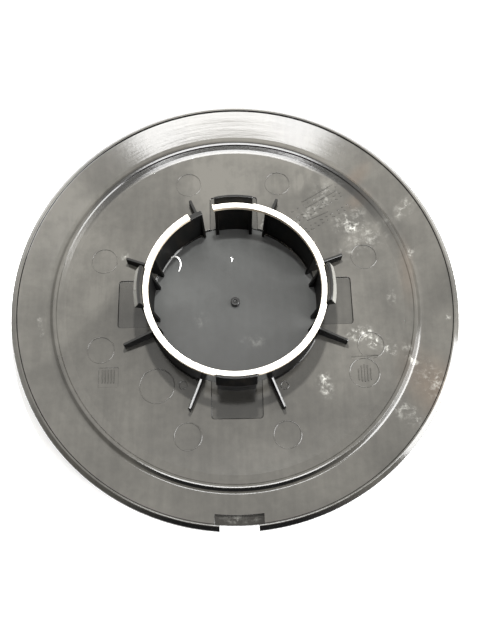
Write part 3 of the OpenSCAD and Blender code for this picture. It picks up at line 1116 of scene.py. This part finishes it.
def darkPlastic(look):
    # Upright faces of the walls, ribs and clips: dull and nearly black, with faint vertical wear
    finish = Finish("darkPlastic")
    patches = finish.noise(finish.shifted(finish.place, (0, 0, 0), look["stretch"]), *look["patches"])
    worn = finish.ramp(patches, *look["levels"])
    patchyPlastic(finish, look, patches, worn, "bare", "worn")
    finish.give("Specular IOR Level", look["gloss"])
    return finish.material


def markUprightFaces(obj, look):
    # Gives the second material to the faces that the look describes
    mesh = obj.data
    centre = np.array([face.center for face in mesh.polygons]) / mm
    normal = np.array([face.normal for face in mesh.polygons])
    radius = np.hypot(centre[:, 0], centre[:, 1])
    height, side = centre[:, 2], np.abs(centre[:, 0])
    outer = (centre * normal)[:, :2].sum(1) > 0
    upright = (radius > look["from"]) & (radius < look["to"]) & (height > look["height"])
    upright &= normal[:, 2] < look["slope"]
    heads = outer & (height > ringTop - look["headBelow"]) & (radius > look["headFrom"])
    upright &= ~(heads & (side > look["headSide"]))
    mesh.polygons.foreach_set("material_index", upright.astype(np.int32))
    mesh.update()


ringLook = {
    "clean": (0.73, 0.69, 0.615, 1),
    # brownish colour of the stains, also used for the painted shade down the sides
    "stainedAndShaded": (0.62, 0.52, 0.39, 1),
    "patches": (120, 5, 0.6, 0.3),
    "levels": (0.5, 0.8, 0.0, 0.5),
    "sideShade": (0.6, 0.1, 0.85),  # painted shade down the sides: full and none at so many mm below the top, share
    "grain": (700, 3, 0.6),
    "roughness": 0.38,
    "patchRoughness": 0.15,
    "bump": (0.2, 0.05),
}


def ringPlastic(look):
    # Off-white plastic, stained in patches, with painted shade down its sides
    finish = Finish("ringPlastic")
    height = finish.split(finish.place)[2]
    patches = finish.noise(finish.place, *look["patches"])
    low, high, share = look["sideShade"]
    sideShade = finish.ramp(height, (ringTop - low) * mm, (ringTop - high) * mm, share, 0.0)
    stainAndShade = finish.reckon("MAXIMUM", finish.ramp(patches, *look["levels"]), sideShade)
    patchyPlastic(finish, look, patches, stainAndShade, "clean", "stainedAndShaded")
    return finish.material


shavingLook = {
    "fresh": (0.82, 0.82, 0.80, 1),
    "shaded": (0.5, 0.49, 0.46, 1),
    "patches": (900, 4, 0.6),
    "levels": (0.5, 0.75, 0.0, 0.6),
    "roughness": 0.45,
    "bump": (0.4, 0.05),
}


def shavingPlastic(look):
    # White plastic with a rough, uneven surface
    finish = Finish("shavingPlastic")
    patches = finish.noise(finish.place, *look["patches"])
    shaded = finish.ramp(patches, *look["levels"])
    finish.give("Base Color", finish.mix(shaded, look["fresh"], look["shaded"]))
    finish.give("Roughness", look["roughness"])
    finish.bump(patches, *look["bump"])
    return finish.material


cap.data.materials.append(capPlastic(capLook, capZones))
cap.data.materials.append(darkPlastic(darkLook))
markUprightFaces(cap, darkLook)
ring.data.materials.append(ringPlastic(ringLook))
shaving.data.materials.append(shavingPlastic(shavingLook))
print("finishes given")

studio = {
    # place, size across and along in mm, radiance, and whether reflections show it; the key lamp only casts
    # the walls' shadow on the floor
    "lamps": {
        "overhead": {"spot": (5, -129, 891), "size": (450, 134), "radiance": 11.5, "gloss": True},
        "window": {"spot": (1010, -234, 600), "size": (820, 1380), "radiance": 10, "gloss": True},
        "key": {"spot": (0, 78, 248), "size": (12, 12), "radiance": 4300, "gloss": False},
    },
    "lampAim": (0, 0, 3),
    "room": 0.95,  # brightness of the room all round
    "roomColour": (1, 0.985, 0.94, 1),
    "viewerSide": 0.02,  # and towards the viewer, who blocks it
    "fadeFrom": -0.45,  # -Y part of a direction where the dark side ends
    "fadeTo": -0.1,
    "tableColour": (0.9, 0.9, 0.9, 1),
    "tableRoughness": 0.9,
    "tableGlow": 0.3,
    "tableSize": 6,  # metres
    "tableLow": 0.2,  # mm below the cap's outer face
}


def makeLamps(s):
    for name, lamp in s["lamps"].items():
        spot = Vector(lamp["spot"]) * mm
        size = [length * mm for length in lamp["size"]]
        data = bpy.data.lights.new(name, "AREA")
        data.shape = "RECTANGLE"
        data.size, data.size_y = size
        data.energy = lamp["radiance"] * math.pi * size[0] * size[1]
        light = bpy.data.objects.new(name, data)
        bpy.context.scene.collection.objects.link(light)
        light.location = spot
        light.rotation_mode = "QUATERNION"
        light.rotation_quaternion = (Vector(s["lampAim"]) * mm - spot).to_track_quat("-Z", "Y")
        light.visible_glossy = lamp["gloss"]


def makeRoom(s):
    # An even pale room that darkens towards the viewer
    world = bpy.data.worlds.new("studio")
    bpy.context.scene.world = world
    world.use_nodes = True
    tree = NodeTree(world.node_tree)
    along = tree.split(tree.add("TexCoord", "Generated", {}))[1]
    strength = tree.ramp(along, s["fadeFrom"], s["fadeTo"], s["viewerSide"], s["room"])
    background = tree.nodes["Background"]
    tree.feed(background.inputs["Strength"], strength)
    tree.feed(background.inputs["Color"], s["roomColour"])


def makeTable(s):
    bpy.ops.mesh.primitive_plane_add(size=s["tableSize"], location=(0, 0, -s["tableLow"] * mm))
    table = bpy.context.object
    table.name = "table"
    finish = Finish("tableWhite")
    finish.give("Base Color", s["tableColour"])
    finish.give("Roughness", s["tableRoughness"])
    finish.give("Emission Color", (1, 1, 1, 1))
    finish.give("Emission Strength", s["tableGlow"])
    table.data.materials.append(finish.material)


makeLamps(studio)
makeRoom(studio)
makeTable(studio)
bpy.context.scene.view_settings.view_transform = "Standard"
print("studio lit")
